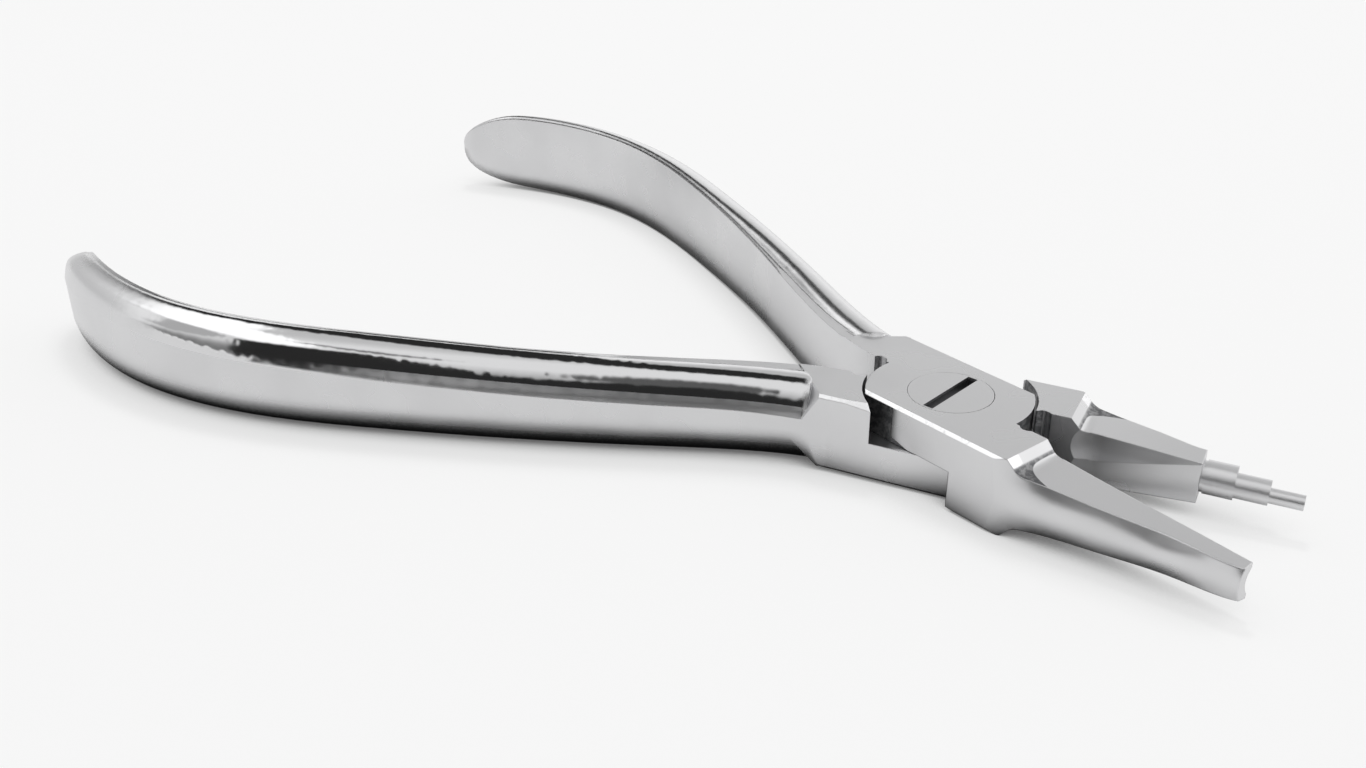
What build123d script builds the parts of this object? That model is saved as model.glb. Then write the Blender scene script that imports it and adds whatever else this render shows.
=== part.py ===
from build123d import *
import math
import os

# Orthodontic wire-bending pliers: one beak carries a pin turned in three steps and
# the other is hollow to close over it. Two forged halves cross in a lap joint and
# turn on a slotted screw. Millimetres.
# Frame: origin on the pivot axis at the joint's underside, +X towards the tips,
# +Z along the pivot to the screw head, handles towards -X.
# Each half is drawn closed about the joint's mid plane, with its handle on +Y, its
# beak on -Y and its lapped plate on top. The lower half is then turned over, and
# both are swung open about the pivot.

# Joint
joint_thickness = 8.0
joint_half_width = 6.1
edge_bevel = 0.3
running_gap = 0.06             # between the two lapped plates
closing_gap = 0.06             # from each inner face to the closing plane
opening_angle = 24.0           # between the halves as they lie
block_length = 11.5            # pivot to the front of the full-height block
root_length = 11.9             # pivot to the rear corner of the joint's side

# Noses of the plates, and the walls that they turn in, as radii about the pivot
front_nose_radius = 7.9
front_wall_clearance = 0.3
rear_nose_radius = 8.15
rear_wall_clearance = 0.3
relief_radius = 0.8            # run-outs where a nose meets an inner face
rear_relief = (-rear_nose_radius - 1.15, -0.2)
front_relief = (front_nose_radius + 1.1, 0.4)

# Side of the plate behind the pivot, forged with a slope and left unground
side_relief_depth = 0.2        # under the plate's top edge, running out at the mid plane
side_relief_margin = 0.14      # of the ground side that is left above it, below the bevel
side_relief_front = -1.8
side_relief_toe = (0.5, 0.6)   # foot of its slanted corner, and the corner's height

# Pivot screw
head_radius = 4.1
head_thickness = 1.6
shoulder_radius = 2.6
thread_radius = 2.1
pivot_clearance = 0.05
slot_width = 1.05
slot_length = 7.8
slot_depth = 1.1
slot_turn = 86.0               # from +X, as the screw was driven home

# Handles: a flat inner face, a belt-ground flat outside, a dome above and below
inner_line_points = [
    (-10.1, 0.06), (-14.8, 0.7), (-21.4, 2.7), (-29.0, 5.7), (-39.9, 10.0),
    (-53.3, 14.4), (-66.7, 17.9), (-79.5, 19.1), (-92.0, 16.6), (-105.4, 8.6),
]
handle_stations = [     # share of the line, thickness, crest, half flat, rim, its drop
    (0.00, 6.04, 4.30, 1.1, 1.50, 0.42),
    (0.08, 5.9, 4.40, 1.2, 1.25, 0.52),
    (0.20, 5.5, 4.60, 1.35, 0.85, 0.68),
    (0.34, 4.9, 4.85, 1.5, 0.60, 0.50),
    (0.48, 4.6, 5.10, 1.8, 0.50, 0.24),
    (0.62, 4.4, 5.30, 2.2, 0.50, 0.16),
    (0.76, 4.1, 5.45, 2.5, 0.50, 0.14),
    (0.89, 3.9, 5.40, 2.6, 0.48, 0.14),
]
tip_shares = [0.925, 0.95, 0.97, 0.985, 0.995, 0.999]
tip_middle = 1.5               # from the inner face to the middle of the rounded tip
tip_inner_share = 0.967        # where the inner face rounds over towards the tip
inner_stock = 1.0              # of the forged handle that the inner face is ground from
grinding_allowance = 0.4       # the same for the outer flat
cutter_lap = 0.6               # of the cutters for both faces, over the joint

# Rounded end of the domes, and the shoulder that falls away beside it
dome_end_share = 0.031         # of the inner line, where the domes end
dome_end_width = 6.5
dome_end_corners = [2.6, 1.5]  # plan radii at the inner and the outer side
dome_end_rounding = 1.4
dome_end_length = 12.0         # of the form that the end is trimmed to
dome_end_inset = 1.2           # of that form from the inner face, beside the rim
neck_share = 0.075             # of the inner line, where the neck runs out
neck_width = 7.0
shoulder_line = [(-12.5, 4.2), (-10.9, 6.1)]
shoulder_slopes = {1: 48.0, -1: 62.0}     # from the plane of the joint, on the plate's side and the other
root_bevel = 0.6               # at the rear wall, growing from nothing at the shoulder

# Beaks and their full-height block behind them
block_overlap = 2.0            # of the beak and the joint inside the block
# Each station of a beak: x, bulge of the outer surface, its fall per square of height, blank's height
hollow_beak_stations = [
    (block_length - 2.5, 6.10, 0.002, 4.3),
    (block_length - 0.1, 6.05, 0.020, 4.2),
    (13.5, 5.70, 0.075, 3.6),
    (17.0, 4.82, 0.120, 3.1),
    (22.5, 3.50, 0.155, 2.8),
    (27.5, 2.47, 0.180, 2.5),
    (32.2, 1.55, 0.210, 2.3),
]
stepped_beak_stations = [
    (block_length - 2.5, 6.10, 0.002, 4.3),
    (block_length - 0.1, 6.06, 0.020, 4.2),
    (13.5, 5.84, 0.070, 3.6),
    (17.0, 5.12, 0.110, 3.1),
    (20.2, 4.43, 0.145, 2.8),
    (23.4, 3.75, 0.173, 2.7),
]
hollow_beak_heights = [(13.4, 2.78), (17.5, 2.50), (22.5, 2.25), (32.2, 1.78)]
stepped_beak_heights = [(13.4, 2.80), (16.5, 2.56), (20.0, 2.30), (23.4, 2.05)]
hollow_beak_falls = [0.02, 0.04, 0.07, 0.16]     # of the top towards the outside
stepped_beak_falls = [0.02, 0.01, -0.01, -0.03]
step_foot = (block_length + 0.7, 3.25)   # foot of the bevel in front of the block
cove_middle = (block_length + 1.1, 2.92)

# Groove in the hollow beak
groove_radius = 1.75
groove_depth = 0.55
groove_start = 18.0

# Hollow grinding inside the stepped beak: x, height and depth along each path
hollow_radius = 6.0
upper_hollow = [(14.2, 1.33, 0.52), (24.0, 2.10, 0.34)]
lower_hollow = [(14.2, -1.33, 0.46), (24.0, 0.05, 0.66)]

# Stepped pin: its steps share one line on the inside
pin_step_length = 2.95
pin_radii = [1.6, 1.18, 0.72]
pin_line = 0.35                # that line, from the closing plane
pin_line_step = 0.03           # by which each finer step stands clear of it
pin_neck_length = 0.3
pin_neck_depth = 0.12
pin_shank_radius = 1.0
pin_shank_length = 5.0

half_height = joint_thickness / 2
tall = 3 * joint_thickness
beyond = 10 * joint_half_width     # farther than any handle reaches
joint_front = block_length - block_overlap
front_wall_radius = front_nose_radius + front_wall_clearance
rear_wall_radius = rear_nose_radius + rear_wall_clearance
pin_start = stepped_beak_stations[-1][0]
low = (Align.CENTER, Align.CENTER, Align.MIN)


def block_of(corner, opposite):
    """Box from one corner to the opposite one."""
    size = [b - a for a, b in zip(corner, opposite)]
    return Pos(*corner) * Box(*size, align=(Align.MIN, Align.MIN, Align.MIN))


def joint():
    """Lapped plate above the mid plane, and the full-height root and block."""
    w = joint_half_width
    floor = running_gap / 2
    nose = half_height - floor
    rear = Pos(0, 0, floor) * Cylinder(rear_nose_radius, nose, align=low)
    rear &= block_of((-rear_nose_radius, -w, 0), (0, w, half_height))
    front = Pos(0, 0, floor) * Cylinder(front_nose_radius, nose, align=low)
    front &= block_of((0, -w, 0), (front_nose_radius, w, half_height))
    lap = block_of((-root_length, closing_gap, floor), (0, w, half_height))
    lap += block_of((0, -w, floor), (joint_front, -closing_gap, half_height))
    root = block_of((-root_length, closing_gap, -half_height), (0, w, half_height))
    root -= Cylinder(rear_wall_radius, tall)
    block = block_of((0, -w, -half_height), (joint_front, -closing_gap, half_height))
    block -= Cylinder(front_wall_radius, tall)
    return lap + rear + front + root + block


def inner_line():
    """Plan curve of the handle's inner face, from the joint to the tip."""
    return Spline(*inner_line_points)


def all_stations():
    """Stations of the whole handle, with its elliptical end."""
    stations = list(handle_stations)
    begin, thickness, *sizes = handle_stations[-1]
    for share in tip_shares:
        done = (share - begin) / (1 - begin)
        left = math.sqrt(1 - done ** 2)
        width = tip_middle + (thickness - tip_middle) * left
        stations.append((share, width, *[size * left for size in sizes]))
    return stations


def across_line(line, share):
    """Plane square to the inner line, with its X pointing outwards."""
    along = line.tangent_at(share)
    outward = Vector(0, 0, 1).cross(along) * -1
    return Plane(origin=line.position_at(share), x_dir=outward, z_dir=along)


def handle_section(line, share, thickness, crest, flat, rim, drop):
    """Forged section of the handle before its inner and outer faces are ground."""
    edge = crest - drop
    top = rim + 0.30 * (thickness - rim)
    shoulder = (top + 0.72 * (thickness - top), flat + 0.70 * (crest - flat))
    belly = thickness + grinding_allowance * thickness / handle_stations[0][1]
    inside = -inner_stock
    dome = Spline(
        (rim, edge), (top, crest), shoulder, (thickness, flat), (belly, 0),
        tangents=[(1, 0.9), (0, -1)])
    under = Spline(
        (belly, 0), (thickness, -flat), (shoulder[0], -shoulder[1]), (top, -crest), (rim, -edge),
        tangents=[(0, -1), (-1, 0.9)])
    outline = [
        Line((inside, -edge), (inside, edge)), Line((inside, edge), (rim, edge)), dome,
        under, Line((rim, -edge), (inside, -edge)),
    ]
    return across_line(line, share) * make_face(outline)


def handle():
    """Handle lofted along its inner line."""
    line = inner_line()
    return loft([handle_section(line, *station) for station in all_stations()])


def ground_away():
    """Beyond the ground inner and outer faces of the handle."""
    line = inner_line()
    straight = line.trim(0, tip_inner_share)
    first = straight.position_at(0)
    last = straight.position_at(1)
    front = first.X + cutter_lap
    tip = across_line(line, 1)
    middle = tip.origin + tip.x_dir * tip_middle
    halfway = (last + middle) / 2 + (tip.origin - (last + middle) / 2) * (math.sqrt(2) - 1)
    rounded = Spline(last, halfway, middle, tangents=[straight.tangent_at(1), tip.x_dir])
    far = middle + tip.x_dir * tip_middle
    inside = make_face([
        straight, rounded, Line(middle, far), Line(far, (far.X - beyond, far.Y)),
        Line((far.X - beyond, far.Y), (far.X - beyond, -beyond)),
        Line((far.X - beyond, -beyond), (front, -beyond)),
        Line((front, -beyond), (front, first.Y)), Line((front, first.Y), first)])
    points = [(first.X, joint_half_width)]
    for station in all_stations()[1:]:
        place = across_line(line, station[0])
        points.append(place.origin + place.x_dir * station[1])
    outer = Spline(*points)
    start = outer.position_at(0)
    finish = outer.position_at(1)
    outside = make_face([
        outer, Line(finish, (finish.X - beyond, finish.Y)),
        Line((finish.X - beyond, finish.Y), (finish.X - beyond, beyond)),
        Line((finish.X - beyond, beyond), (front, beyond)),
        Line((front, beyond), (front, start.Y)), Line((front, start.Y), start)])
    return [Pos(0, 0, -tall / 2) * extrude(face, tall) for face in (inside, outside)]


def dome_trim():
    """Off the handle, around the rounded end of its domes."""
    line = inner_line()
    along = line.tangent_at(dome_end_share)
    end = Plane(origin=line.position_at(dome_end_share), x_dir=along, z_dir=(0, 0, 1))
    # Outward is -Y in this plane
    crest, flat = handle_stations[0][2:4]
    level = crest - handle_stations[0][5]
    top = crest + cutter_lap
    keep = block_of((0, -dome_end_width, -top), (dome_end_length, -dome_end_inset, top))
    corners = keep.edges().filter_by(Axis.Z).group_by(Axis.X)[0].sort_by(Axis.Y)
    keep = fillet(corners[-1], dome_end_corners[0])
    corners = keep.edges().filter_by(Axis.Z).group_by(Axis.X)[0].sort_by(Axis.Y)
    keep = fillet(corners[0], dome_end_corners[1])
    reach = max(dome_end_corners) + 0.01
    rims = [e for e in keep.edges() if abs(e.center().Z) > half_height and e.bounding_box().max.X < reach]
    keep = fillet(rims, dome_end_rounding)
    side = 2 * dome_end_width
    around = block_of((-side, -side, -tall), (reach + cutter_lap, side, tall))
    around -= block_of((-side, -side, -flat), (reach + cutter_lap, side, flat))
    around -= block_of((-side, -dome_end_inset, -level), (reach + cutter_lap, side, level))
    return end * (around - keep)


def neck():
    """Between the joint and the domes, level with the joint."""
    line = inner_line()
    middle = neck_width / 2 - cutter_lap
    section = Pos(middle, 0) * Rectangle(neck_width, joint_thickness)
    return loft([across_line(line, share) * section for share in (0, neck_share / 2, neck_share)])


def shoulders():
    """Beyond the sloping shoulders of the neck and the root, and the root's wide bevel."""
    (x0, y0), (x1, y1) = shoulder_line
    length = math.hypot(x1 - x0, y1 - y0)
    nx, ny = -(y1 - y0) / length, (x1 - x0) / length
    planes = []
    for up, slope in shoulder_slopes.items():
        s = math.sin(math.radians(slope))
        c = math.cos(math.radians(slope))
        planes.append(Plane(
            origin=(x0, y0, up * half_height), x_dir=(x1 - x0, y1 - y0, 0),
            z_dir=(nx * s, ny * s, up * c)))
    wall = -math.sqrt(rear_wall_radius ** 2 - joint_half_width ** 2)
    planes.append(Plane(
        origin=(x1, joint_half_width, -half_height), x_dir=(wall - x1, 0, root_bevel),
        z_dir=(root_bevel, wall - x1, x1 - wall)))
    return [plane * Box(beyond, beyond, tall, align=low) for plane in planes]


def beak_section(x, bulge, fall, height):
    """Closed section of a beak: flat inside, bulged outside."""
    width = bulge - fall * height ** 2
    plane = Plane(origin=(x, 0, 0), x_dir=(0, -1, 0), z_dir=(1, 0, 0))
    outline = [
        Line((closing_gap, -height), (closing_gap, height)),
        Line((closing_gap, height), (width, height)),
        ThreePointArc((width, height), (bulge, 0), (width, -height)),
        Line((width, -height), (closing_gap, -height)),
    ]
    return plane * make_face(outline)


def beak_profile(heights, falls, across):
    """Outline of a beak from the side, at a distance from the closing plane."""
    crown = [(x, h - fall * across) for (x, h), fall in zip(heights, falls)]
    tip, tip_height = crown[-1]
    back = joint_front - cutter_lap
    outline = []
    for up in (1, -1):
        level = [(back, up * half_height), (block_length, up * half_height), (step_foot[0], up * step_foot[1])]
        outline.append(Line(level[0], level[1]))
        outline.append(Line(level[1], level[2]))
        outline.append(ThreePointArc(
            level[2], (cove_middle[0], up * cove_middle[1]), (crown[0][0], up * crown[0][1])))
        outline.append(Spline(*[(x, up * h) for x, h in crown]))
    outline.append(Line((tip, tip_height), (tip, -tip_height)))
    outline.append(Line((back, half_height), (back, -half_height)))
    return Plane.XZ.offset(across) * make_face(outline)


def beak(stations, heights, falls):
    """Beak from inside the block to its end."""
    body = loft([beak_section(*station) for station in stations])
    across = (0, joint_half_width)
    sides = loft([beak_profile(heights, falls, y) for y in across], ruled=True)
    turning = Pos(0, 0, -tall) * Cylinder(front_wall_radius, tall + running_gap / 2, align=low)
    return (body & sides) - turning


def rod(start, end, radius):
    """Round rod between two points, with a ball at its start."""
    a, b = Vector(*start), Vector(*end)
    axis = Plane(origin=a, z_dir=b - a)
    return axis * Cylinder(radius, (b - a).length, align=low) + Pos(*start) * Sphere(radius)


def half(stations, heights, falls):
    """One half of the pliers, closed about the mid plane, without its bore."""
    body = joint() + neck()
    for waste in shoulders():
        body -= waste
    body += (handle() - dome_trim()) + beak(stations, heights, falls)
    for waste in ground_away():
        body -= waste
    w = joint_half_width
    for up in (1, -1):
        for side in (1, -1):
            edge = Pos(-root_length, side * w, up * half_height) * Rot(45, 0, 0)
            wide = edge_bevel * math.sqrt(2)
            along_x = (Align.MIN, Align.CENTER, Align.CENTER)
            body -= edge * Box(root_length + block_length + wide, wide, wide, align=along_x)
    body -= Pos(*rear_relief) * Cylinder(relief_radius, tall)
    body -= Pos(*front_relief) * Cylinder(relief_radius, tall)
    toe, corner = side_relief_toe
    back = -rear_wall_radius
    crown = half_height - edge_bevel - side_relief_margin
    side = make_face(Polyline(
        (back, 0), (toe, 0), (side_relief_front, corner), (side_relief_front, crown), (back, crown), close=True))
    slope = math.degrees(math.atan2(side_relief_depth, half_height))
    relief = Pos(0, -w, 0) * Rot(-slope, 0, 0) * extrude(Plane.XZ * side, tall)
    return body - relief


upper = half(hollow_beak_stations, hollow_beak_heights, hollow_beak_falls)
lower = half(stepped_beak_stations, stepped_beak_heights, stepped_beak_falls)

# Groove that closes over the pin
groove = Plane(origin=(groove_start, groove_radius - groove_depth - closing_gap, 0), z_dir=(1, 0, 0))
upper -= groove * Cylinder(groove_radius, tall, align=low)
upper -= Pos(groove_start, groove_radius - groove_depth - closing_gap, 0) * Sphere(groove_radius)

# Hollow grinding and the pin's bore in the other beak
for (x0, z0, d0), (x1, z1, d1) in (upper_hollow, lower_hollow):
    inset = hollow_radius - closing_gap
    lower -= rod((x0, inset - d0, -z0), (x1, inset - d1, -z1), hollow_radius)
shank = Plane(origin=(pin_start - pin_shank_length, -pin_line - pin_radii[0], 0), z_dir=(1, 0, 0))
lower -= shank * Cylinder(pin_shank_radius, 2 * pin_shank_length, align=low)

# Stepped pin
pin = shank * Cylinder(pin_shank_radius, pin_shank_length + 1, align=low)
x = pin_start
neck_ring = Plane(origin=(x, -pin_line - pin_radii[0], 0), z_dir=(1, 0, 0))
pin += neck_ring * Cylinder(pin_radii[0] - pin_neck_depth, pin_neck_length, align=low)
for n, radius in enumerate(pin_radii):
    start = x + pin_neck_length if n == 0 else x
    step = Plane(origin=(start, -pin_line - n * pin_line_step - radius, 0), z_dir=(1, 0, 0))
    pin += step * Cylinder(radius, x + pin_step_length - start, align=low)
    x += pin_step_length

# Bore in the upper half: counterbore for the head, clear hole for the shoulder
upper -= Cylinder(shoulder_radius + pivot_clearance, tall)
upper -= Pos(0, 0, half_height - head_thickness) * Cylinder(
    head_radius + pivot_clearance, head_thickness + 1, align=low)
# Tapped hole in the lower half
lower -= Cylinder(thread_radius, tall)

# Screw
screw = Pos(0, 0, half_height - head_thickness) * Cylinder(head_radius, head_thickness, align=low)
screw += Pos(0, 0, running_gap / 2) * Cylinder(
    shoulder_radius, half_height - head_thickness - running_gap / 2, align=low)
screw += Pos(0, 0, -half_height) * Cylinder(thread_radius, half_height + 1, align=low)
slot = Rot(0, 0, slot_turn) * Box(slot_length, slot_width, 2 * slot_depth)
screw -= Pos(0, 0, half_height) * slot

upper_half = Pos(0, 0, half_height) * Rot(0, 0, -opening_angle / 2) * upper
turned = Pos(0, 0, half_height) * Rot(0, 0, opening_angle / 2) * Rot(180, 0, 0)
lower_half = turned * lower
stepped_tip = turned * pin
pivot_screw = Pos(0, 0, half_height) * screw

parts = {
    "upper_half": upper_half,
    "lower_half": lower_half,
    "pivot_screw": pivot_screw,
    "stepped_tip": stepped_tip,
}
os.makedirs("parts", exist_ok=True)
for name, part in parts.items():
    print(name, part.volume, part.is_valid, len(part.solids()), part.bounding_box())
    export_step(part, os.path.join("parts", name + ".step"))
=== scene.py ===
"""Orthodontic wire-bending pliers: the finish of the steel, a white table and studio light."""

import math

import bpy
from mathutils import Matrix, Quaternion, Vector


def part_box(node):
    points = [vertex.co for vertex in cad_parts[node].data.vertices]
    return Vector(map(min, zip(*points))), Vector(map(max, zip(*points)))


bl_info = {
    "name": "Orthodontic pliers",
    "version": (1, 1, 0),
    "blender": (4, 5, 0),
    "location": "View3D > Sidebar > Pliers",
    "description": "Finishes for the steel of a pair of wire-bending pliers, and the stage they lie on",
    "category": "Object",
}

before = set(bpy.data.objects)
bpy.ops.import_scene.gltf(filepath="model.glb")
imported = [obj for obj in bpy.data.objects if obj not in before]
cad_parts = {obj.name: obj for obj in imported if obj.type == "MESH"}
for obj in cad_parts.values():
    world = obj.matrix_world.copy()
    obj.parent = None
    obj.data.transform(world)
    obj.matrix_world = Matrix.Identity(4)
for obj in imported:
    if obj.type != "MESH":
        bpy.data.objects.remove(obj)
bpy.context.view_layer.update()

MM = 0.001
JOINT_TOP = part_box("pivot_screw")[1].z
MID_PLANE = JOINT_TOP / 2

# The pliers rest on the front of the joint and on the fat of the handles, so the table is not quite
# level with the joint
REST_X = 10.8 * MM
CORNERS = [obj.matrix_world @ vertex.co
           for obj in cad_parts.values() for vertex in obj.data.vertices]
TABLE_SLOPE = max(-corner.z / (REST_X - corner.x) for corner in CORNERS if corner.x < 0)
TABLE_HALF = 1.5

# Half of the angle that the two halves are opened to, each in its own direction
SWING = math.radians(12)

# Where the finishes of a half lie, in its own axes when closed: x from the pivot towards the beak,
# across from its middle, height from the mid plane of the joint. Each pair is where a finish begins
# and where it is full, so that its edge is soft.
RIM_HEIGHT = (4.10 * MM, 4.05 * MM)
RIM_BACK = (-34 * MM, -30 * MM)
DOME_FRONT = (-12.6 * MM, -12.9 * MM)
DOME_FADE = (-84 * MM, -72 * MM)
HAZE_HEIGHT = (1.15 * MM, 1.05 * MM)
HAZE_BACK = (-64 * MM, -50 * MM)
MISSED_SIDE = (-5.84 * MM, -5.86 * MM)
MISSED_BACK = (-1.79 * MM, -1.81 * MM)
MISSED_FRONT = (1.0 * MM, 0.6 * MM)
MISSED_EDGE = (0.0, 0.02 * MM)
ABOVE_MIDDLE = (0.0, 0.04 * MM)
FOOT_EDGE = (-0.05 * MM, 0.05 * MM)
FOOT_BACK = (12.10 * MM, 12.25 * MM)
FOOT_TOP = (3.4 * MM, 3.3 * MM)
BEVEL_BACK = (-12.4 * MM, -12.0 * MM)
BEVEL_FRONT = (12.4 * MM, 12.2 * MM)
BEVEL_BOTTOM = (3.0 * MM, 3.1 * MM)
BEVEL_INSIDE = (4.0 * MM, 4.4 * MM)
NOSE_INSIDE = (7.6 * MM, 7.7 * MM)
NOSE_OUTSIDE = (8.9 * MM, 8.8 * MM)
NOSE_SIDE = (5.95 * MM, 5.85 * MM)
BEAK_BACK = (12.2 * MM, 12.6 * MM)
DOME_END = (-15 * MM, -13 * MM)
HANDLE_FRONT = (-10.5 * MM, -12.5 * MM)
BELOW_MIDDLE = (0.0, -0.5 * MM)

# Tilt of a face, from 0 upright to 1 level
LEVEL = (0.965, 0.98)
OFF_UPRIGHT = (0.05, 0.09)
UPRIGHT = (0.3, 0.2)
STEEP = (0.5, 0.4)
NEARLY_LEVEL = (0.6, 0.8)
SLANTED = ((0.50, 0.56), (0.90, 0.85))

# Half height of the ground flat at the pivot, and its growth along the handle
FLAT_HEIGHT = 0.8 * MM
FLAT_GROWTH = -0.0195
# Height that the belt missed on the plate's side: a slanted toe in front, then the full side
TOE_HEIGHT = 0.13 * MM
TOE_SLOPE = -0.261
MISSED_HEIGHT = 3.57 * MM
# Corner of the beak's foot: its front line, how far it bows and how sharply it does near the edge
FOOT_LINE = 12.45 * MM
FOOT_BOW = 0.9 * MM
FOOT_HALF_WIDTH = 4 * MM
FOOT_SHARPNESS = 8.0

# Radii of the edges that the wheel rounds
GROUND_EDGE = 0.10 * MM
BEAK_EDGE = 0.2 * MM
DOME_EDGE = 0.6 * MM
DOME_END_EDGE = 0.9 * MM
UNDER_EDGE = 2.8 * MM

# Size of the spots in each kind of wear, and where a spot's edge begins and ends in its noise. The glint
# edge speckles the painted highlight on the bevels.
WORN_SIZE = 5 * MM
WORN_SPREAD = 9 * MM
CLOUD_SIZE = 7 * MM
CLOUD_EDGE = (0.3, 0.7)
MARK_SIZE = 0.7 * MM
MARK_EDGE = (0.42, 0.62)
GLINT_EDGE = (0.25, 0.5)
WAVE_SIZE = 6 * MM
# How much rougher or smoother the satin is in a cloud
CLOUD_ROUGHNESS = 0.05
# A scratch is 20 times as long as it is wide, a turned ring about 12 times
SCRATCH_STRETCH = 0.05
RING_STRETCH = 0.08
SCRATCH_DEPTH = 0.006 * MM
RING_DEPTH = 0.010 * MM
# What the polish leaves of the scratches, and the height of its own waves, in scratch depths
POLISHED_SCRATCHES = 0.1
POLISHED_WAVES = 3.0
# Depths in the screw's slot over which painted shade darkens it
SLOT_SHADE_DEPTH = (JOINT_TOP - 0.15 * MM, JOINT_TOP - 0.4 * MM)

# Share of open sky over the table at which the painted shadow in its tone begins and ends to lighten
CONTACT_SKY = (0.05, 0.6)
UNDER_SKY = (0.45, 0.92)
LAMP_AIM_X = -30 * MM
HALF_TURN = 180


def linear(hex_colour):
    """Linear RGBA from an sRGB hex value."""
    values = [int(hex_colour[i:i + 2], 16) / 255 for i in (1, 3, 5)]
    return [v / 12.92 if v <= 0.04045 else ((v + 0.055) / 1.055) ** 2.4 for v in values] + [1.0]


def add_node(tree, kind, inputs=None, output=0, **settings):
    """Adds a node with its settings. Each input is a value or another node's output, under the
    socket's name or number. Returns the output asked for, or the node where that is None."""
    node = tree.nodes.new(kind)
    for key, value in settings.items():
        setattr(node, key, value)
    for key, value in (inputs or {}).items():
        if isinstance(value, bpy.types.NodeSocket):
            tree.links.new(value, node.inputs[key])
        else:
            node.inputs[key].default_value = value
    return node if output is None else node.outputs[output]


def mask(tree, *ranges):
    """Product of smooth steps. Each goes from 0 at its value's first limit to 1 at its second,
    and the limits may fall."""
    result = None
    for value, start, full in ranges:
        rises = start < full
        step = add_node(tree, "ShaderNodeMapRange", {
            "Value": value, "From Min": min(start, full), "From Max": max(start, full),
            "To Min": float(not rises), "To Max": float(rises)}, interpolation_type="SMOOTHSTEP")
        if result is None:
            result = step
        else:
            result = add_node(tree, "ShaderNodeMath", {0: result, 1: step}, operation="MULTIPLY")
    return result


def new_material(name):
    """An empty node material and its tree."""
    material = bpy.data.materials.new(name)
    material.use_nodes = True
    material.node_tree.nodes.clear()
    return material, material.node_tree


def dress(node, material):
    """Puts a material in every slot of a CAD node."""
    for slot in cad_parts[node].material_slots:
        slot.material = material


class PliersSteel(bpy.types.PropertyGroup):
    """Colours of the steel, with its painted highlight and painted shade, and its grain."""
    colour: bpy.props.StringProperty(
        name="Steel colour", description="Reflected colour of the stainless steel, sRGB hex",
        default="#D7D7D8")
    # Painted highlight: the bevels get this lighter colour so that they show as white lines
    bevel_highlight_colour: bpy.props.StringProperty(
        name="Bevel colour", description="Colour of the bevels that were ground last, sRGB hex",
        default="#F6F6F7")
    # Partly the dull forged finish, partly painted shade: the walls in the joint's recesses are coloured
    # dark
    unground_shade_colour: bpy.props.StringProperty(
        name="Unground colour", description="Colour of the forged walls left unpolished, sRGB hex",
        default="#6A6B6D")
    mark_colour: bpy.props.StringProperty(
        name="Mark colour", description="Colour of the marks on the unpolished walls, sRGB hex",
        default="#9A9A9B")
    # Painted shade: the slot's floor is coloured darker, as the shade that falls in it
    slot_shade_colour: bpy.props.StringProperty(
        name="Slot colour", description="Colour of the milled slot of the screw, sRGB hex",
        default="#8E8E90")
    polish_roughness: bpy.props.FloatProperty(
        name="Polish roughness", description="Roughness of the mirror-polished domes",
        default=0.07, min=0, max=1)
    far_polish_roughness: bpy.props.FloatProperty(
        name="Upper half's polish", description="Roughness of the domes of the upper half",
        default=0.22, min=0, max=1)
    satin_roughness: bpy.props.FloatProperty(
        name="Satin roughness", description="Roughness of the belt-ground faces",
        default=0.30, min=0, max=1)
    haze_roughness: bpy.props.FloatProperty(
        name="Haze roughness", description="Roughness of the dome just above the ground flat",
        default=0.30, min=0, max=1)
    unground_roughness: bpy.props.FloatProperty(
        name="Unground roughness", description="Roughness of the walls left unpolished",
        default=0.50, min=0, max=1)
    turned_roughness: bpy.props.FloatProperty(
        name="Turned roughness", description="Roughness of the turned pin",
        default=0.34, min=0, max=1)
    grit: bpy.props.FloatProperty(
        name="Grit", description="Spacing of the belt's scratches", default=0.12 * MM, unit="LENGTH")


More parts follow.
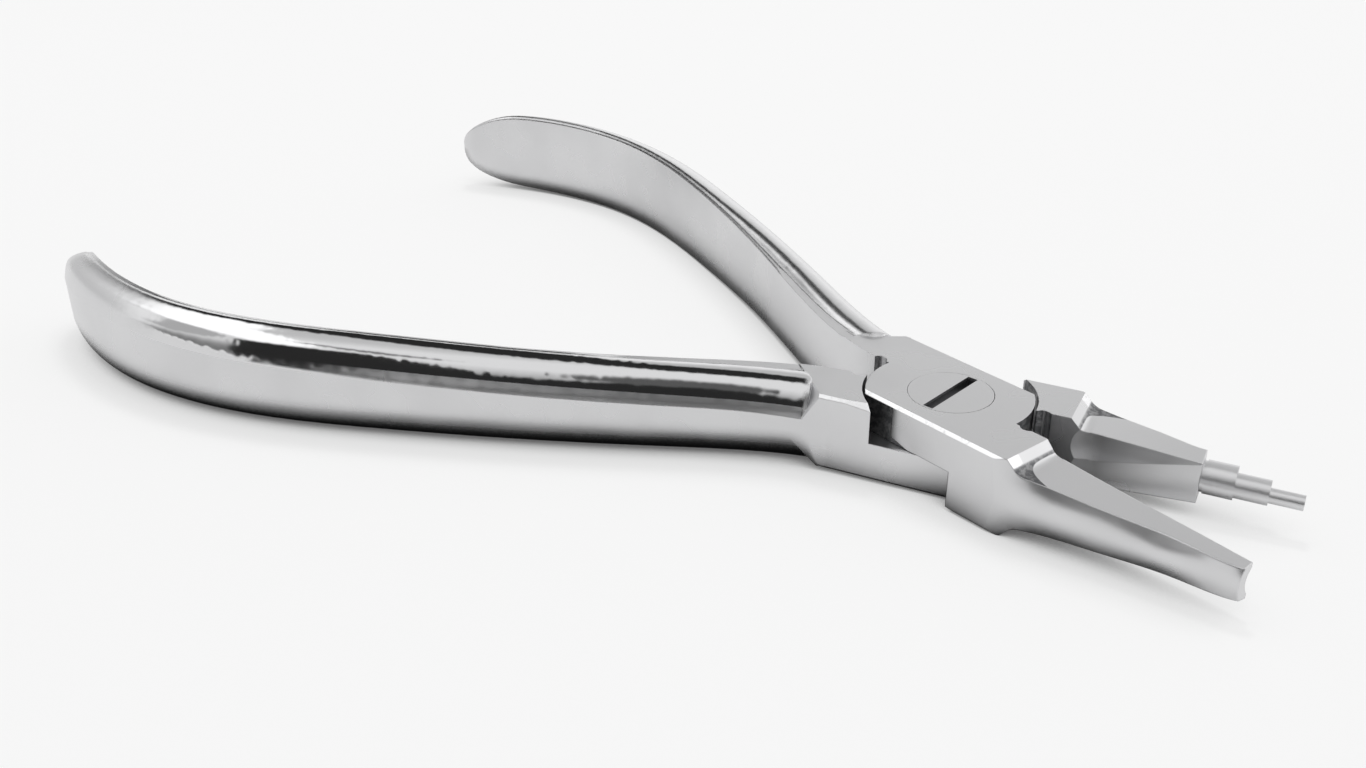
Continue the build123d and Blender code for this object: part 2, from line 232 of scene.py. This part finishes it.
class PliersStage(bpy.types.PropertyGroup):
    """Camera, table and light."""
    focal_length: bpy.props.FloatProperty(
        name="Focal length", description="Lens of the camera, mm on a 36 mm sensor", default=36.53)
    camera_place: bpy.props.FloatVectorProperty(
        name="Camera", description="Place of the camera", default=(0.05416, -0.10667, 0.07081),
        unit="LENGTH")
    camera_azimuth: bpy.props.FloatProperty(
        name="Azimuth", description="Direction the camera looks from",
        default=math.radians(39.287), unit="ROTATION")
    camera_elevation: bpy.props.FloatProperty(
        name="Elevation", description="Angle of the view above the table",
        default=math.radians(27.830), unit="ROTATION")
    camera_roll: bpy.props.FloatProperty(
        name="Roll", description="Tilt of the camera about its view",
        default=math.radians(-0.442), unit="ROTATION")
    table_colour: bpy.props.StringProperty(
        name="Table colour", description="Colour of the table, sRGB hex", default="#F5F5F5")
    # Painted shadow: the table's colour in the shade beside the pliers
    contact_shadow_colour: bpy.props.StringProperty(
        name="Contact colour", description="Colour of the table where the pliers touch it, sRGB hex",
        default="#646464")
    # Painted shadow: the table's colour in the shade under the pliers, as the metal sees it
    under_shadow_colour: bpy.props.StringProperty(
        name="Under colour", description="Colour of the table that the metal sees under itself, sRGB hex",
        default="#101010")
    shade: bpy.props.FloatProperty(
        name="Shade", description="Share of the table's real shading that is seen", default=0.2,
        min=0, max=1)
    contact: bpy.props.FloatProperty(
        name="Contact shadow", description="Reach of the deep shade beside the pliers",
        default=4.5 * MM, unit="LENGTH")
    under_shade: bpy.props.FloatProperty(
        name="Under shade", description="Reach of the shade that the metal sees under itself",
        default=7 * MM, unit="LENGTH")
    lamp_power: bpy.props.FloatProperty(
        name="Lamp power", description="Power of the lamp over the table", default=2.0, unit="POWER")
    lamp_height: bpy.props.FloatProperty(
        name="Lamp height", description="Angle of the lamp above the table",
        default=math.radians(69), unit="ROTATION")
    lamp_distance: bpy.props.FloatProperty(
        name="Lamp distance", description="From the pliers to the lamp", default=0.8, unit="LENGTH")
    lamp_size: bpy.props.FloatProperty(
        name="Lamp size", description="Width of the lamp", default=0.14, unit="LENGTH")


def half_axes(tree, swing):
    """Axes of a half as it lies when closed: x, y, z from the mid plane, height and across without
    their signs, and tilt. closed and object are its coordinates whole."""
    place = add_node(tree, "ShaderNodeTexCoord", output=None)
    closed = add_node(tree, "ShaderNodeVectorRotate", {
        "Vector": place.outputs["Object"], "Angle": -swing}, rotation_type="Z_AXIS")
    axes = add_node(tree, "ShaderNodeSeparateXYZ", {"Vector": closed}, output=None)
    normal = add_node(tree, "ShaderNodeSeparateXYZ", {"Vector": place.outputs["Normal"]}, output=None)
    x, y = axes.outputs["X"], axes.outputs["Y"]
    z = add_node(tree, "ShaderNodeMath", {0: axes.outputs["Z"], 1: MID_PLANE}, operation="SUBTRACT")
    height = add_node(tree, "ShaderNodeMath", {0: z}, operation="ABSOLUTE")
    across = add_node(tree, "ShaderNodeMath", {0: y}, operation="ABSOLUTE")
    tilt = add_node(tree, "ShaderNodeMath", {0: normal.outputs["Z"]}, operation="ABSOLUTE")
    return {"object": place.outputs["Object"], "closed": closed, "x": x, "y": y, "z": z,
            "height": height, "across": across, "tilt": tilt}


def polished_domes(tree, at):
    """Domes of the handle: everything behind their round ends but the flat faces and the rim. Towards
    the tip the polish is worn away unevenly."""
    rim = mask(tree, (at["tilt"], *LEVEL), (at["height"], *RIM_HEIGHT), (at["x"], *RIM_BACK))
    off_rim = add_node(tree, "ShaderNodeMath", {0: 1.0, 1: rim}, operation="SUBTRACT")
    worn = add_node(tree, "ShaderNodeTexNoise", {
        "Vector": at["object"], "Scale": 1 / WORN_SIZE, "Detail": 3.0})
    fade = add_node(tree, "ShaderNodeMath", {
        0: worn, 1: WORN_SPREAD, 2: at["x"]}, operation="MULTIPLY_ADD")
    return mask(tree, (off_rim, 0.0, 1.0), (at["x"], *DOME_FRONT), (at["tilt"], *OFF_UPRIGHT),
                (fade, *DOME_FADE))


def belt_haze(tree, at, mirror):
    """Haze that the belt leaves on the dome just above the flat, whose half height grows towards
    the tip."""
    flat = add_node(tree, "ShaderNodeMath", {
        0: at["x"], 1: FLAT_GROWTH, 2: FLAT_HEIGHT}, operation="MULTIPLY_ADD")
    above = add_node(tree, "ShaderNodeMath", {0: at["height"], 1: flat}, operation="SUBTRACT")
    return mask(tree, (above, *HAZE_HEIGHT), (mirror, 0.0, 1.0), (at["x"], *HAZE_BACK))


def missed_side(tree, at, facing):
    """Low part of the plate's side, which the belt missed, with a slanted toe in front. The lower half
    is the upper one turned over, so facing gives the signs of its side and level."""
    side = add_node(tree, "ShaderNodeMath", {0: at["y"], 1: facing}, operation="MULTIPLY")
    level = add_node(tree, "ShaderNodeMath", {0: at["z"], 1: facing}, operation="MULTIPLY")
    toe = add_node(tree, "ShaderNodeMath", {
        0: at["x"], 1: TOE_SLOPE, 2: TOE_HEIGHT}, operation="MULTIPLY_ADD")
    full = add_node(tree, "ShaderNodeMath", {
        0: mask(tree, (at["x"], *MISSED_BACK)), 1: MISSED_HEIGHT}, operation="MULTIPLY")
    limit = add_node(tree, "ShaderNodeMath", {0: toe, 1: full}, operation="MAXIMUM")
    beneath = add_node(tree, "ShaderNodeMath", {0: limit, 1: level}, operation="SUBTRACT")
    return mask(tree, (beneath, *MISSED_EDGE), (level, *ABOVE_MIDDLE), (side, *MISSED_SIDE),
                (at["tilt"], *STEEP), (at["x"], *MISSED_FRONT))


def foot_corner(tree, at):
    """Corner of the beak's foot, which the wheel doesn't reach and which widens towards the outer
    edge as a high power of the distance from the middle."""
    outwards = add_node(tree, "ShaderNodeMath", {0: at["across"], 1: FOOT_HALF_WIDTH}, operation="DIVIDE")
    widening = add_node(tree, "ShaderNodeMath", {0: outwards, 1: FOOT_SHARPNESS}, operation="POWER")
    line = add_node(tree, "ShaderNodeMath", {
        0: widening, 1: FOOT_BOW, 2: FOOT_LINE}, operation="MULTIPLY_ADD")
    short = add_node(tree, "ShaderNodeMath", {0: line, 1: at["x"]}, operation="SUBTRACT")
    return mask(tree, (short, *FOOT_EDGE), (at["x"], *FOOT_BACK), (at["tilt"], *NEARLY_LEVEL),
                (at["height"], *FOOT_TOP))


def unground_shaded_walls(tree, at, facing):
    """Everything that no wheel reaches: the noses of the plates, the missed side and the corner of the
    beak's foot. These recesses get a dark colour, partly their dull forged finish and partly painted
    shade."""
    flat_place = add_node(tree, "ShaderNodeCombineXYZ", {"X": at["x"], "Y": at["y"]})
    radius = add_node(tree, "ShaderNodeVectorMath", {0: flat_place}, output="Value", operation="LENGTH")
    wall = mask(tree, (radius, *NOSE_INSIDE), (radius, *NOSE_OUTSIDE), (at["across"], *NOSE_SIDE),
                (at["tilt"], *UPRIGHT))
    for other in (missed_side(tree, at, facing), foot_corner(tree, at)):
        wall = add_node(tree, "ShaderNodeMath", {0: wall, 1: other}, operation="MAXIMUM")
    return wall


def highlit_bevels(tree, at):
    """Bevels along the joint, where a white highlight is painted into the colour."""
    return mask(tree, *((at["tilt"], *limits) for limits in SLANTED), (at["height"], *BEVEL_BOTTOM),
                (at["x"], *BEVEL_BACK), (at["x"], *BEVEL_FRONT), (at["across"], *BEVEL_INSIDE))


def worn_edges(tree, at, mirror):
    """Normal with the edges rounded by the wheel: hardly on the ground faces, more on the beaks, well
    on the domes, and most under the handles."""
    rounding = add_node(tree, "ShaderNodeMix", {
        0: mask(tree, (at["x"], *BEAK_BACK)), 2: GROUND_EDGE, 3: BEAK_EDGE})
    dome = add_node(tree, "ShaderNodeMix", {
        0: mask(tree, (at["x"], *DOME_END)), 2: DOME_EDGE, 3: DOME_END_EDGE})
    rounding = add_node(tree, "ShaderNodeMix", {0: mirror, 2: rounding, 3: dome})
    under = mask(tree, (at["x"], *HANDLE_FRONT), (at["z"], *BELOW_MIDDLE))
    rounding = add_node(tree, "ShaderNodeMix", {0: under, 2: rounding, 3: UNDER_EDGE})
    return add_node(tree, "ShaderNodeBevel", {"Radius": rounding}, samples=12)


def steel_of_half(values, name, swing, facing, polish):
    """Stainless steel, drop forged, then ground and polished. The domes are mirrors that fade to satin
    at the tips. The ground faces are an even satin with scratches along the part. The walls in the
    joint stay dull, and their recesses are painted dark as shade. The bevels get a painted white
    highlight."""
    material, tree = new_material(name)
    at = half_axes(tree, swing)
    mirror = polished_domes(tree, at)
    # Mask of the recessed walls, which are painted dark: dull finish and painted shade
    wall = unground_shaded_walls(tree, at, facing)

    # The scratches are about three times as wide as those of a fine belt, so that they show
    scratch_place = add_node(tree, "ShaderNodeMapping", {
        "Vector": at["closed"], "Scale": (SCRATCH_STRETCH, 1, 1)})
    scratches = add_node(tree, "ShaderNodeTexNoise", {
        "Vector": scratch_place, "Scale": 1 / values.grit, "Detail": 3.0, "Roughness": 0.6})
    marks = add_node(tree, "ShaderNodeTexNoise", {
        "Vector": at["object"], "Scale": 1 / MARK_SIZE, "Detail": 4.0, "Roughness": 0.7})
    clouds = add_node(tree, "ShaderNodeTexNoise", {
        "Vector": at["object"], "Scale": 1 / CLOUD_SIZE, "Detail": 2.0})

    satin = add_node(tree, "ShaderNodeMapRange", {
        "Value": clouds, "From Min": CLOUD_EDGE[0], "From Max": CLOUD_EDGE[1],
        "To Min": values.satin_roughness - CLOUD_ROUGHNESS,
        "To Max": values.satin_roughness + CLOUD_ROUGHNESS})
    rough = add_node(tree, "ShaderNodeMix", {0: mirror, 2: satin, 3: polish})
    rough = add_node(tree, "ShaderNodeMix", {
        0: belt_haze(tree, at, mirror), 2: rough, 3: values.haze_roughness})
    rough = add_node(tree, "ShaderNodeMix", {0: wall, 2: rough, 3: values.unground_roughness})

    # Painted shade on the recessed walls, with lighter marks on their dull finish
    unground_shade = add_node(tree, "ShaderNodeMix", {
        0: mask(tree, (marks, *MARK_EDGE)), 6: linear(values.unground_shade_colour),
        7: linear(values.mark_colour)}, output=2, data_type="RGBA")
    # Painted highlight: speckled white on the bevels along the joint
    glint = mask(tree, (highlit_bevels(tree, at), 0.0, 1.0), (marks, *GLINT_EDGE))
    ground = add_node(tree, "ShaderNodeMix", {
        0: glint, 6: linear(values.colour), 7: linear(values.bevel_highlight_colour)},
        output=2, data_type="RGBA")
    colour = add_node(tree, "ShaderNodeMix", {
        0: wall, 6: ground, 7: unground_shade}, output=2, data_type="RGBA")

    # The polish takes most of the scratches away and leaves broad waves
    waves = add_node(tree, "ShaderNodeTexNoise", {
        "Vector": at["object"], "Scale": 1 / WAVE_SIZE, "Detail": 1.0})
    fine = add_node(tree, "ShaderNodeMix", {0: mirror, 2: 1.0, 3: POLISHED_SCRATCHES})
    broad = add_node(tree, "ShaderNodeMix", {0: mirror, 2: 0.0, 3: POLISHED_WAVES})
    relief = add_node(tree, "ShaderNodeMath", {0: scratches, 1: fine}, operation="MULTIPLY")
    relief = add_node(tree, "ShaderNodeMath", {0: waves, 1: broad, 2: relief}, operation="MULTIPLY_ADD")
    bump = add_node(tree, "ShaderNodeBump", {
        "Height": relief, "Normal": worn_edges(tree, at, mirror), "Strength": 0.3,
        "Distance": SCRATCH_DEPTH})
    shader = add_node(tree, "ShaderNodeBsdfPrincipled", {
        "Base Color": colour, "Metallic": 1.0, "Roughness": rough, "Normal": bump})
    add_node(tree, "ShaderNodeOutputMaterial", {"Surface": shader}, output=None)
    return material


def faced_steel(values):
    """Stainless steel, faced in the joint with the plate and ground with it. The head is the same even
    satin as the plate around it, and the milled slot is painted dark as shade."""
    material, tree = new_material("faced_stainless_steel")
    place = add_node(tree, "ShaderNodeTexCoord", output="Object")
    level = add_node(tree, "ShaderNodeSeparateXYZ", {"Vector": place}, output="Z")
    # Painted shade, deeper in the slot
    slot = mask(tree, (level, *SLOT_SHADE_DEPTH))
    colour = add_node(tree, "ShaderNodeMix", {
        0: slot, 6: linear(values.colour), 7: linear(values.slot_shade_colour)},
        output=2, data_type="RGBA")
    scratch_place = add_node(tree, "ShaderNodeMapping", {
        "Vector": place, "Rotation": (0, 0, SWING), "Scale": (SCRATCH_STRETCH, 1, 1)})
    scratches = add_node(tree, "ShaderNodeTexNoise", {
        "Vector": scratch_place, "Scale": 1 / values.grit, "Detail": 3.0, "Roughness": 0.6})
    bump = add_node(tree, "ShaderNodeBump", {
        "Height": scratches, "Strength": 0.3, "Distance": SCRATCH_DEPTH})
    shader = add_node(tree, "ShaderNodeBsdfPrincipled", {
        "Base Color": colour, "Metallic": 1.0, "Roughness": values.satin_roughness, "Normal": bump})
    add_node(tree, "ShaderNodeOutputMaterial", {"Surface": shader}, output=None)
    return material


def turned_steel(values):
    """Stainless steel, turned on a lathe. Fine rings around the pin's axis spread each highlight into a
    streak along it. The rings are drawn coarser than real ones, so that they show."""
    material, tree = new_material("turned_stainless_steel")
    place = add_node(tree, "ShaderNodeTexCoord", output="Object")
    ring_place = add_node(tree, "ShaderNodeMapping", {
        "Vector": place, "Rotation": (0, 0, -SWING), "Scale": (1, RING_STRETCH, RING_STRETCH)})
    rings = add_node(tree, "ShaderNodeTexNoise", {
        "Vector": ring_place, "Scale": 1 / values.grit, "Detail": 3.0, "Roughness": 0.6})
    bump = add_node(tree, "ShaderNodeBump", {
        "Height": rings, "Strength": 0.4, "Distance": RING_DEPTH})
    shader = add_node(tree, "ShaderNodeBsdfPrincipled", {
        "Base Color": linear(values.colour), "Metallic": 1.0, "Roughness": values.turned_roughness,
        "Normal": bump})
    add_node(tree, "ShaderNodeOutputMaterial", {"Surface": shader}, output=None)
    return material


class PLIERS_OT_halves(bpy.types.Operator):
    """Finish of the two forged halves"""
    bl_idname = "pliers.halves"
    bl_label = "Finish the halves"

    def execute(self, context):
        values = context.scene.pliers_steel
        dress("upper_half", steel_of_half(
            values, "forged_steel_upper", -SWING, 1.0, values.far_polish_roughness))
        dress("lower_half", steel_of_half(
            values, "forged_steel_lower", SWING, -1.0, values.polish_roughness))
        return {"FINISHED"}


class PLIERS_OT_screw(bpy.types.Operator):
    """Finish of the slotted pivot screw"""
    bl_idname = "pliers.screw"
    bl_label = "Finish the screw"

    def execute(self, context):
        dress("pivot_screw", faced_steel(context.scene.pliers_steel))
        return {"FINISHED"}


class PLIERS_OT_tip(bpy.types.Operator):
    """Finish of the stepped pin"""
    bl_idname = "pliers.tip"
    bl_label = "Finish the stepped pin"

    def execute(self, context):
        dress("stepped_tip", turned_steel(context.scene.pliers_steel))
        return {"FINISHED"}


# Brightness of the studio over the angle from the horizon behind the pliers, over the top, to the
# horizon at the camera, in degrees
STUDIO = [(0, 1.2), (20, 0.95), (32, 0.65), (60, 0.74), (76, 0.9), (84, 1.0), (130, 1.0), (150, 0.8),
          (170, 0.35), (180, 0.2)]
# What stands in it: brightness, softness of its edge in degrees, and its outline as the direction to
# the right of the view, from -1 to 1, and the two angles that it reaches between there. An outline
# ends where these cross, and a later thing stands in front of an earlier one.
STUDIO_THINGS = {
    # Greys the tips of the handles
    "left wall": (0.70, 4, [
        (-1, -9, 76), (-0.80, -9, 59), (-0.60, -9, 46), (-0.46, -9, 28), (-0.40, -9, -18)]),
    "far left softbox": (1.15, 4, [
        (-1, 78, 172), (-0.95, 78, 114), (-0.85, 64, 90), (-0.76, 58, 74), (-0.72, 68, 56)]),
    "grey wall": (0.56, 4, [
        (-0.99, 124, 118), (-0.95, 118, 150), (-0.85, 94, 142), (-0.75, 80, 122), (-0.71, 100, 90)]),
    # White patch on the curve of the near handle
    "left softbox": (1.5, 3, [
        (-0.74, 76, 66), (-0.68, 54, 119), (-0.55, 48, 119), (-0.50, 42, 106), (-0.45, 36, 88),
        (-0.39, 30, 56), (-0.33, 33, 46), (-0.30, 44, 36)]),
    # Thin line beside that patch
    "dark bar": (0.25, 3, [
        (-0.50, 92, 84), (-0.46, 92, 119), (-0.41, 106, 119), (-0.36, 120, 112)]),
    # Dark band along the lower half of the near dome: grey near the joint, black below and behind
    "dim room": (0.13, 8, [
        (-0.36, 164, 142), (-0.31, 142, 158), (-0.25, 135, 165), (-0.18, 128, 177),
        (0.20, 127, 177), (0.30, 138, 124)]),
    "dark room": (0.03, 3, [
        (-0.84, 182, 170), (-0.80, 150, 184), (-0.74, 124, 184), (-0.49, 123, 184),
        (-0.46, 152, 184), (-0.42, 166, 184), (-0.36, 163, 184), (-0.25, 158, 184),
        (0.20, 158, 184), (0.28, 184, 172)]),
    # Black line along the top of the domes
    "dark flag": (0.03, 2, [
        (-0.56, 36, 30), (-0.48, 26, 38), (-0.40, 20, 34), (-0.32, 16, 34), (-0.24, 12, 43),
        (-0.20, 2, 48), (-0.10, 2, 76), (-0.05, 10, 84), (-0.02, 44, 84), (0.10, 50, 80),
        (0.14, 64, 52)]),
    # Lights the inner faces from the side
    "right softbox": (1.3, 4, [(0.62, 36, 28), (0.68, 28, 112), (1, 28, 112)]),
}


def line_through(tree, value, stops):
    """Value read off a line through stops. Each is a place from 0 to 1 and a level."""
    line = add_node(tree, "ShaderNodeValToRGB", {"Fac": value}, output=None)
    elements = line.color_ramp.elements
    while len(elements) < len(stops):
        elements.new(1.0)
    for element, (place, level) in zip(elements, sorted(stops)):
        element.position = place
        element.color = (level, level, level, 1)
    return line.outputs["Color"]


def studio_light(tree, away, right):
    """Colour of the studio around the table. A direction is read as the angle over the top, from the
    horizon behind the pliers, and as how far it points to the right."""
    direction = add_node(tree, "ShaderNodeTexCoord", output="Generated")
    forward = add_node(tree, "ShaderNodeVectorMath", {
        0: direction, 1: away}, output="Value", operation="DOT_PRODUCT")
    side = add_node(tree, "ShaderNodeVectorMath", {
        0: direction, 1: right}, output="Value", operation="DOT_PRODUCT")
    up = add_node(tree, "ShaderNodeSeparateXYZ", {"Vector": direction}, output="Z")
    turn = add_node(tree, "ShaderNodeMath", {0: up, 1: forward}, operation="ARCTAN2")
    # As shares of the half turn from horizon to horizon and of the way from left to right
    over = add_node(tree, "ShaderNodeMath", {0: turn, 1: math.pi}, operation="DIVIDE")
    across = add_node(tree, "ShaderNodeMath", {0: side, 1: 0.5, 2: 0.5}, operation="MULTIPLY_ADD")
    room = line_through(tree, over, [(angle / HALF_TURN, level) for angle, level in STUDIO])
    for level, softness, outline in STUDIO_THINGS.values():
        soft = softness / HALF_TURN
        lows = [((place + 1) / 2, low / HALF_TURN) for place, low, high in outline]
        highs = [((place + 1) / 2, high / HALF_TURN) for place, low, high in outline]
        first = line_through(tree, across, lows)
        last = line_through(tree, across, highs)
        past = add_node(tree, "ShaderNodeMath", {0: over, 1: first}, operation="SUBTRACT")
        before = add_node(tree, "ShaderNodeMath", {0: last, 1: over}, operation="SUBTRACT")
        inside = mask(tree, (past, -soft, soft), (before, -soft, soft))
        room = add_node(tree, "ShaderNodeMix", {
            0: inside, 6: room, 7: (level, level, level, 1)}, output=2, data_type="RGBA")
    return room


def table_white(values):
    """Matt white table. The camera and the metal see its own white, with a shadow painted beside the
    pliers, and a share of its real shading, which keeps the shadow. The metal sees a deeper painted
    shadow under the pliers, which also darkens the table's real colour there."""
    material, tree = new_material("matt_white_table")
    white = linear(values.table_colour)
    ray = add_node(tree, "ShaderNodeLightPath", output=None)
    contact_sky = add_node(tree, "ShaderNodeAmbientOcclusion", {
        "Distance": values.contact}, output="AO", samples=8)
    # Painted contact shadow, seen by the camera
    beside = add_node(tree, "ShaderNodeMix", {
        0: mask(tree, (contact_sky, *CONTACT_SKY)), 6: linear(values.contact_shadow_colour), 7: white},
        output=2, data_type="RGBA")
    under_sky = add_node(tree, "ShaderNodeAmbientOcclusion", {
        "Distance": values.under_shade}, output="AO", samples=8)
    # Painted shadow under the pliers, seen by the metal and in the table's real colour
    under = add_node(tree, "ShaderNodeMix", {
        0: mask(tree, (under_sky, *UNDER_SKY)), 6: linear(values.under_shadow_colour), 7: white},
        output=2, data_type="RGBA")
    tone = add_node(tree, "ShaderNodeMix", {
        0: ray.outputs["Is Camera Ray"], 6: under, 7: beside}, output=2, data_type="RGBA")
    real = add_node(tree, "ShaderNodeBsdfPrincipled", {
        "Base Color": under, "Roughness": 0.9, "Specular IOR Level": 0.1})
    plain = add_node(tree, "ShaderNodeEmission", {"Color": tone, "Strength": 1.0})
    seen = add_node(tree, "ShaderNodeMixShader", {0: values.shade, 1: plain, 2: real})
    direct = ray.outputs["Is Camera Ray"]
    for kind in ("Is Glossy Ray", "Is Transmission Ray"):
        direct = add_node(tree, "ShaderNodeMath", {0: direct, 1: ray.outputs[kind]}, operation="MAXIMUM")
    shader = add_node(tree, "ShaderNodeMixShader", {0: direct, 1: real, 2: seen})
    add_node(tree, "ShaderNodeOutputMaterial", {"Surface": shader}, output=None)
    return material


def place_camera(context, values, back):
    """Camera at its place, looking against back."""
    data = bpy.data.cameras.new("camera")
    data.lens = values.focal_length
    data.sensor_width = 36.0
    data.clip_start, data.clip_end = 0.005, 20
    camera = bpy.data.objects.new("camera", data)
    context.scene.collection.objects.link(camera)
    camera.location = values.camera_place
    camera.rotation_mode = "QUATERNION"
    look = (-back).to_track_quat("-Z", "Y")
    camera.rotation_quaternion = Quaternion(-back, -values.camera_roll) @ look
    context.scene.camera = camera


def lay_table(context, values):
    """Table under the pliers: one square, sloped so that they rest on it."""
    mesh = bpy.data.meshes.new("table")
    square = [(-TABLE_HALF, -TABLE_HALF), (TABLE_HALF, -TABLE_HALF), (TABLE_HALF, TABLE_HALF),
              (-TABLE_HALF, TABLE_HALF)]
    mesh.from_pydata([(x, y, (x - REST_X) * TABLE_SLOPE) for x, y in square], [], [(0, 1, 2, 3)])
    mesh.materials.append(table_white(values))
    table = bpy.data.objects.new("table", mesh)
    context.scene.collection.objects.link(table)


def surround(context, values, away, right):
    """Studio light from all sides. Where the camera looks past the table it sees a plain backdrop."""
    world = bpy.data.worlds.new("studio")
    context.scene.world = world
    world.use_nodes = True
    tree = world.node_tree
    tree.nodes.clear()
    room = add_node(tree, "ShaderNodeBackground", {
        "Color": studio_light(tree, away, right), "Strength": 1.0})
    backdrop = add_node(tree, "ShaderNodeBackground", {
        "Color": linear(values.table_colour), "Strength": 1.0})
    by_camera = add_node(tree, "ShaderNodeLightPath", output="Is Camera Ray")
    surroundings = add_node(tree, "ShaderNodeMixShader", {0: by_camera, 1: room, 2: backdrop})
    add_node(tree, "ShaderNodeOutputWorld", {"Surface": surroundings}, output=None)


def hang_lamp(context, values, away):
    """Lamp behind and above, which lights the table and throws the shadow forwards."""
    data = bpy.data.lights.new("table_lamp", "AREA")
    data.shape = "DISK"
    data.size = values.lamp_size
    data.energy = values.lamp_power
    lamp = bpy.data.objects.new("table_lamp", data)
    context.scene.collection.objects.link(lamp)
    height = values.lamp_height
    aim = Vector((LAMP_AIM_X, 0, 0))
    towards = away * math.cos(height) + Vector((0, 0, math.sin(height)))
    lamp.location = aim + values.lamp_distance * towards
    lamp.rotation_euler = (aim - lamp.location).to_track_quat("-Z", "Y").to_euler()
    lamp.visible_glossy = False


class PLIERS_OT_stage(bpy.types.Operator):
    """Camera, table and light"""
    bl_idname = "pliers.stage"
    bl_label = "Set the stage"

    def execute(self, context):
        values = context.scene.pliers_stage
        a, e = values.camera_azimuth, values.camera_elevation
        away = Vector((-math.sin(a), math.cos(a), 0))
        right = Vector((math.cos(a), math.sin(a), 0))
        back = Vector((math.sin(a) * math.cos(e), -math.cos(a) * math.cos(e), math.sin(e)))
        place_camera(context, values, back)
        lay_table(context, values)
        surround(context, values, away, right)
        hang_lamp(context, values, away)
        context.scene.view_settings.view_transform = "Standard"
        return {"FINISHED"}


class PLIERS_PT_panel(bpy.types.Panel):
    """Lists the steps of the pliers"""
    bl_idname = "PLIERS_PT_panel"
    bl_label = "Pliers"
    bl_space_type = "VIEW_3D"
    bl_region_type = "UI"
    bl_category = "Pliers"

    def draw(self, context):
        for step in ("pliers.halves", "pliers.screw", "pliers.tip", "pliers.stage"):
            self.layout.operator(step)


classes = (PliersSteel, PliersStage, PLIERS_OT_halves, PLIERS_OT_screw, PLIERS_OT_tip, PLIERS_OT_stage,
           PLIERS_PT_panel)


def register():
    for item in classes:
        bpy.utils.register_class(item)
    bpy.types.Scene.pliers_steel = bpy.props.PointerProperty(type=PliersSteel)
    bpy.types.Scene.pliers_stage = bpy.props.PointerProperty(type=PliersStage)


def unregister():
    del bpy.types.Scene.pliers_steel
    del bpy.types.Scene.pliers_stage
    for item in reversed(classes):
        bpy.utils.unregister_class(item)


def main():
    register()
    bpy.ops.pliers.halves()
    bpy.ops.pliers.screw()
    bpy.ops.pliers.tip()
    bpy.ops.pliers.stage()


if __name__ == "__main__":
    main()
